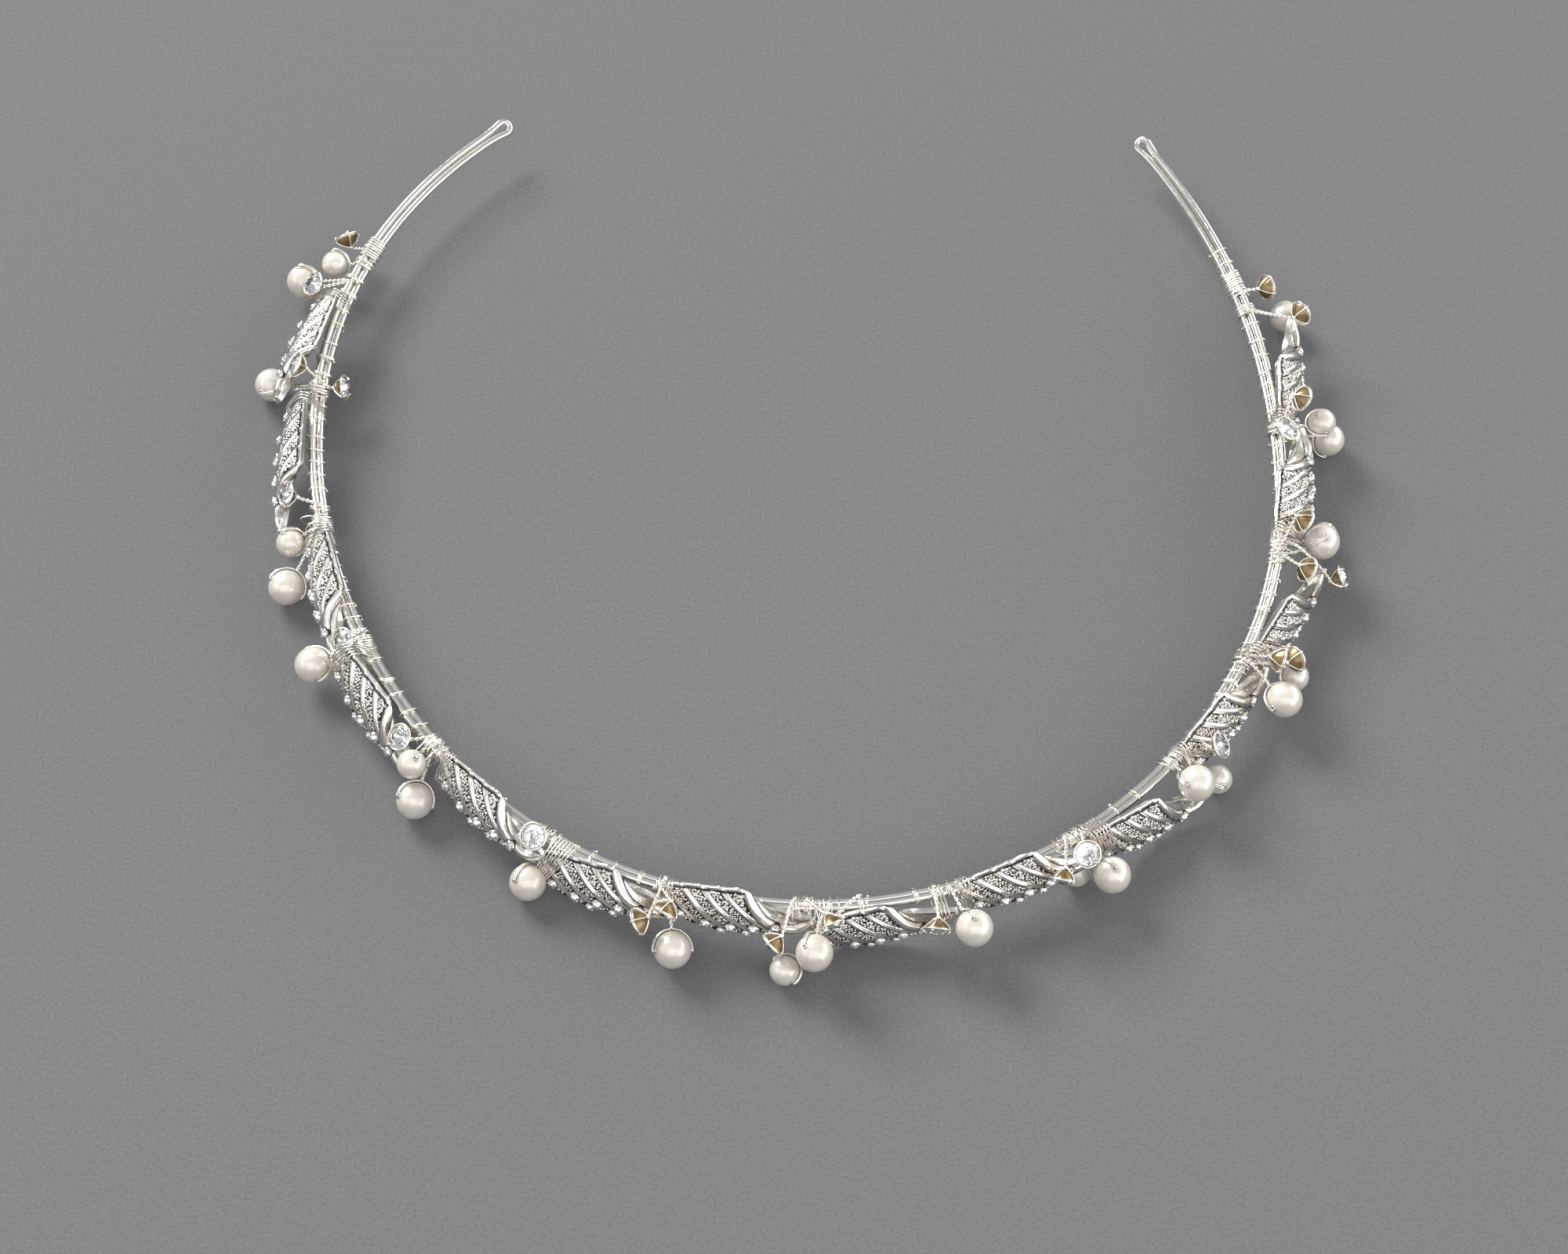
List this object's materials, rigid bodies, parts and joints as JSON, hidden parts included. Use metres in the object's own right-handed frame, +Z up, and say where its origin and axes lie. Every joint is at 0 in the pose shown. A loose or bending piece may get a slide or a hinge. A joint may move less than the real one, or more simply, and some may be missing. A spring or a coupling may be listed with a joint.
{
  "type": "tiara",
  "caption": "Horseshoe wire headband with cast leaf ornaments, pearls and cut stones in wire cups, bound on along its outer side with fine wire.",
  "frame": {"origin": "on the table the tiara lies on, under the middle of its outline", "axes": "+X to the tip at the right of the picture, +Y to the open back, +Z up from the table"},
  "size_m": [0.1582, 0.1442, 0.0126],
  "materials": {
    "silver_wire": "bright silver-plated wire",
    "cast_silver": "cast silver plate, bright on the ribs and darkened in the hollows",
    "pearl": "ivory pearl lustre",
    "cut_glass": "clear faceted glass"
  },
  "bodies": {
    "root": {"band": "silver_wire", "leaf_01": "cast_silver", "leaf_02": "cast_silver", "leaf_03": "cast_silver", "leaf_04": "cast_silver", "leaf_05": "cast_silver", "leaf_06": "cast_silver", "leaf_07": "cast_silver", "leaf_08": "cast_silver", "leaf_09": "cast_silver", "leaf_10": "cast_silver", "leaf_11": "cast_silver", "leaf_12": "cast_silver", "leaf_13": "cast_silver", "leaf_14": "cast_silver", "pearl_01": "pearl", "pearl_02": "pearl", "pearl_03": "pearl", "pearl_04": "pearl", "pearl_05": "pearl", "pearl_06": "pearl", "pearl_07": "pearl", "pearl_08": "pearl", "pearl_09": "pearl", "pearl_10": "pearl", "pearl_11": "pearl", "pearl_12": "pearl", "pearl_13": "pearl", "pearl_14": "pearl", "pearl_15": "pearl", "pearl_16": "pearl", "pearl_17": "pearl", "pearl_18": "pearl", "pearl_19": "pearl", "pearl_20": "pearl", "pearl_21": "pearl", "pearl_22": "pearl", "pearl_23": "pearl", "pearl_24": "pearl", "crystal_01": "cut_glass", "crystal_02": "cut_glass", "crystal_03": "cut_glass", "crystal_04": "cut_glass", "crystal_05": "cut_glass", "crystal_06": "cut_glass", "crystal_07": "cut_glass", "crystal_08": "cut_glass", "crystal_09": "cut_glass", "crystal_10": "cut_glass", "crystal_11": "cut_glass", "crystal_12": "cut_glass", "crystal_13": "cut_glass", "crystal_14": "cut_glass", "crystal_15": "cut_glass", "tucked_crystals": "cut_glass", "crystal_cups": "silver_wire", "leaf_stones": "cut_glass", "pearl_wires": "silver_wire", "lashings": "silver_wire"}
  },
  "joints": []
}
